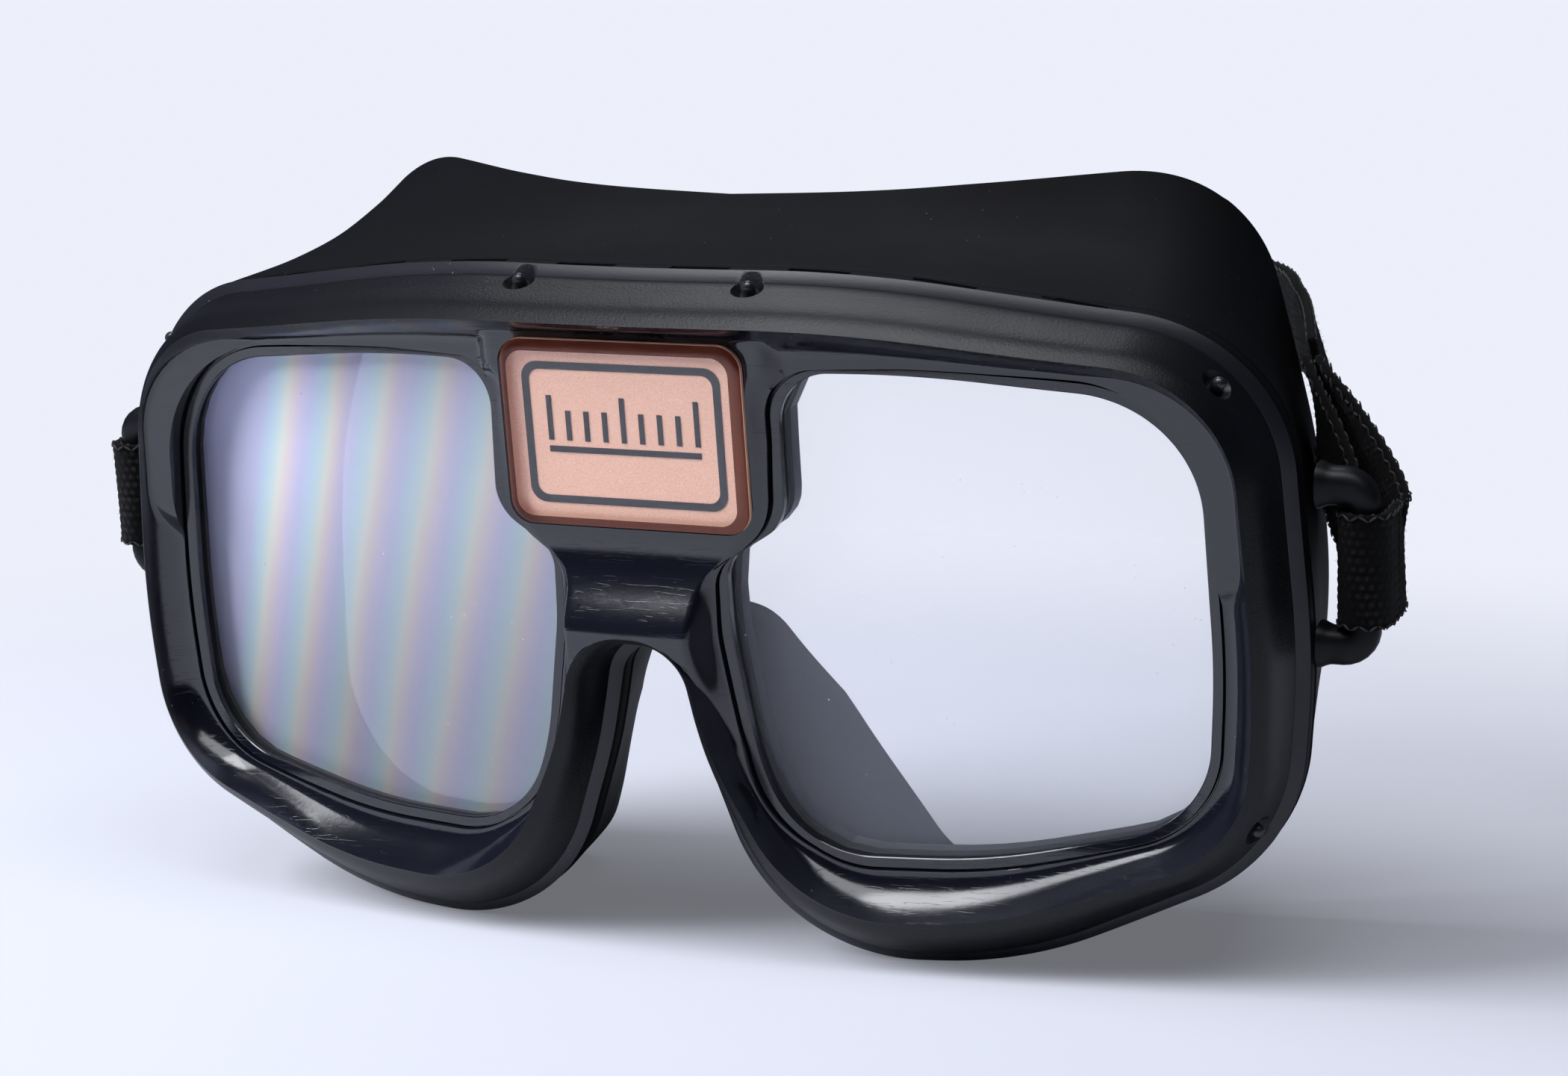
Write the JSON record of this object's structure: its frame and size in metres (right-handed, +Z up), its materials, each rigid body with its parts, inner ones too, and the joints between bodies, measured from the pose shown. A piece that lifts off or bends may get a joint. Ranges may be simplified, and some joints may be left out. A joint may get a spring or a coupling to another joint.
{
  "type": "alcohol impairment goggles",
  "caption": "Wide goggles with a dished one-piece front rim, laminated distortion lenses, a nose-bridge badge, a soft face mask and an adjustable elastic head strap.",
  "frame": {"origin": "centre of the bounding box at the floor that the goggles stand on", "axes": "+X to the wearer's left, which is the viewer's right from the front, +Y from the front rim towards the face, +Z up"},
  "size_m": [0.1892, 0.1174, 0.1024],
  "materials": {
    "rim_plastic": "glossy dish, satin grained outer band",
    "pin_plastic": "moulded",
    "lens_clear": "clear hard-coated polycarbonate",
    "film": "clear laminated distortion film",
    "gasket_rubber": "soft",
    "retainer_plastic": "moulded",
    "badge_metal": "copper flake",
    "badge_ink": "printed",
    "badge_resin": "clear domed resin",
    "mask_rubber": "matte, smooth",
    "loop_rubber": "matte, moulded",
    "webbing": "woven elastic",
    "thread": "stitched",
    "slider_plastic": "moulded"
  },
  "bodies": {
    "goggles": {"bezel": "rim_plastic", "bezel_pins": "pin_plastic", "lens_left": "lens_clear", "lens_right": "lens_clear", "film_left": "film", "film_right": "film", "gasket_left": "gasket_rubber", "gasket_right": "gasket_rubber", "lens_retainer": "retainer_plastic", "badge_plate": "badge_metal", "badge_print": "badge_ink", "badge_dome": "badge_resin", "face_mask": "mask_rubber", "strap_loop_left": "loop_rubber", "strap_loop_right": "loop_rubber", "strap_wrap_left": "webbing", "strap_wrap_right": "webbing", "strap_leg_left": "webbing", "strap_leg_right": "webbing"},
    "strap": {"strap_side_left": "webbing", "strap_side_right": "webbing", "bar_tacks": "thread", "strap_elastic_left": "webbing", "strap_elastic_right": "webbing"},
    "left_slider": {"slider_left": "slider_plastic"},
    "right_slider": {"slider_right": "slider_plastic"},
    "rear_strap": {"strap_rear": "webbing"}
  },
  "joints": [
    {"name": "strap_swing", "type": "hinge", "parent": "goggles", "child": "strap", "pos_m": [0, -0.02607, 0.05436], "axis": [1, 0, 0], "range_deg": [-60, 110], "deforming": ["strap_leg_left", "strap_leg_right"]},
    {"name": "strap_stretch", "type": "slide", "parent": "strap", "child": "rear_strap", "axis": [0, 0.993, 0.1184], "range_m": [0, 0.04], "stiffness_N_per_m": 90, "deforming": ["strap_elastic_left", "strap_elastic_right"]},
    {"name": "left_slider_travel", "type": "slide", "parent": "strap", "child": "left_slider", "axis": [0.6815, 0.7288, 0.0667], "range_m": [-0.001, 0.008]},
    {"name": "right_slider_travel", "type": "slide", "parent": "strap", "child": "right_slider", "axis": [-0.6815, 0.7288, 0.0667], "range_m": [-0.001, 0.008]}
  ]
}
